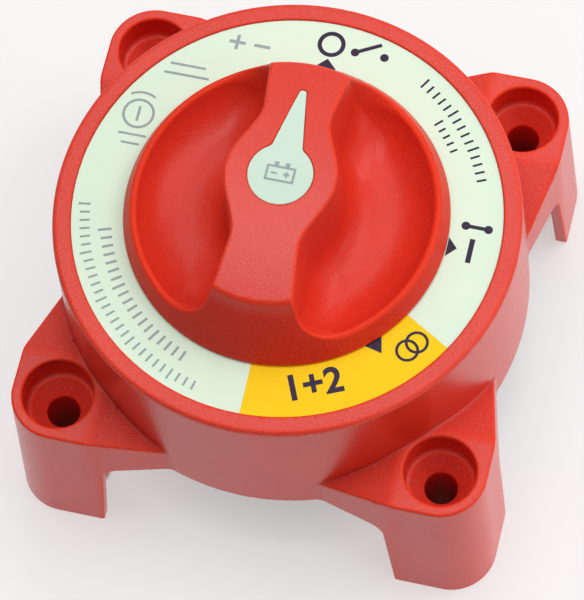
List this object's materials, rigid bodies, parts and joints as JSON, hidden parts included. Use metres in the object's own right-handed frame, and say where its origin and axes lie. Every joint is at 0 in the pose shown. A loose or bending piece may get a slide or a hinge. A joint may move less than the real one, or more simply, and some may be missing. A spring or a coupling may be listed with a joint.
{
  "type": "battery switch",
  "caption": "Rotary battery switch: a round drum on a square housing with corner legs, a turning knob with a pale pointer, a printed label ring and threaded studs under the drum",
  "frame": {"origin": "centre of the housing's footprint, on the surface that the feet stand on", "axes": "+Z is the shaft's axis, out of the panel; +Y points to the OFF mark; +X points to the ON mark"},
  "size_m": [0.0982, 0.0982, 0.0775],
  "materials": {
    "housing_plastic": "satin moulded red plastic with a fine spark texture",
    "knob_plastic": "satin moulded red plastic, smooth in the finger bowls",
    "label_pale": "pale mint printed label",
    "label_yellow": "yellow printed field of the label",
    "pointer_pale": "pale mint inlay",
    "plate_plastic": "black glass-filled plastic",
    "deck_plastic": "natural thermoset insulator",
    "rotor_plastic": "black nylon",
    "gasket_rubber": "black sheet rubber",
    "seal_rubber": "black nitrile",
    "screw_steel": "stainless steel",
    "hardware_steel": "stainless steel",
    "bushing_brass": "turned brass",
    "shaft_brass": "turned brass",
    "washer_nylon": "natural nylon",
    "spring_steel": "spring steel",
    "contact_copper": "copper",
    "terminal_tinned": "tin-plated copper"
  },
  "bodies": {
    "base": {"housing": "housing_plastic", "base_plate": "plate_plastic", "base_gasket": "gasket_rubber", "base_screws": "screw_steel", "contact_deck": "deck_plastic", "shaft_bushing": "bushing_brass", "shaft_seal": "seal_rubber", "thrust_washer": "washer_nylon", "detent_springs": "spring_steel", "terminal_1": "terminal_tinned", "terminal_2": "terminal_tinned", "terminal_3": "terminal_tinned", "terminal_4": "terminal_tinned", "label_ring": "label_pale", "label_field": "label_yellow", "stud_washers": "hardware_steel", "stud_lock_washers": "hardware_steel", "stud_nuts": "hardware_steel"},
    "turning": {"shaft": "shaft_brass", "rotor": "rotor_plastic", "retaining_ring": "spring_steel", "knob": "knob_plastic", "knob_screw": "screw_steel", "pointer_inlay": "pointer_pale", "contact_springs_1": "spring_steel", "contact_springs_2": "spring_steel"},
    "bar_1": {"contact_bar_1": "contact_copper"},
    "bar_2": {"contact_bar_2": "contact_copper"}
  },
  "joints": [
    {"name": "knob_turn", "type": "hinge", "parent": "base", "child": "turning", "pos_m": [0, 0, 0.04], "axis": [0, 0, 1], "range_deg": [-135, 0]},
    {"name": "contact_bar_1_float", "type": "slide", "parent": "turning", "child": "bar_1", "axis": [0, 0, 1], "range_m": [0, 0.0008], "stiffness_N_per_m": 2000, "springref_m": -0.002, "deforming": ["contact_springs_1"]},
    {"name": "contact_bar_2_float", "type": "slide", "parent": "turning", "child": "bar_2", "axis": [0, 0, 1], "range_m": [0, 0.0008], "stiffness_N_per_m": 2000, "springref_m": -0.002, "deforming": ["contact_springs_2"]}
  ]
}
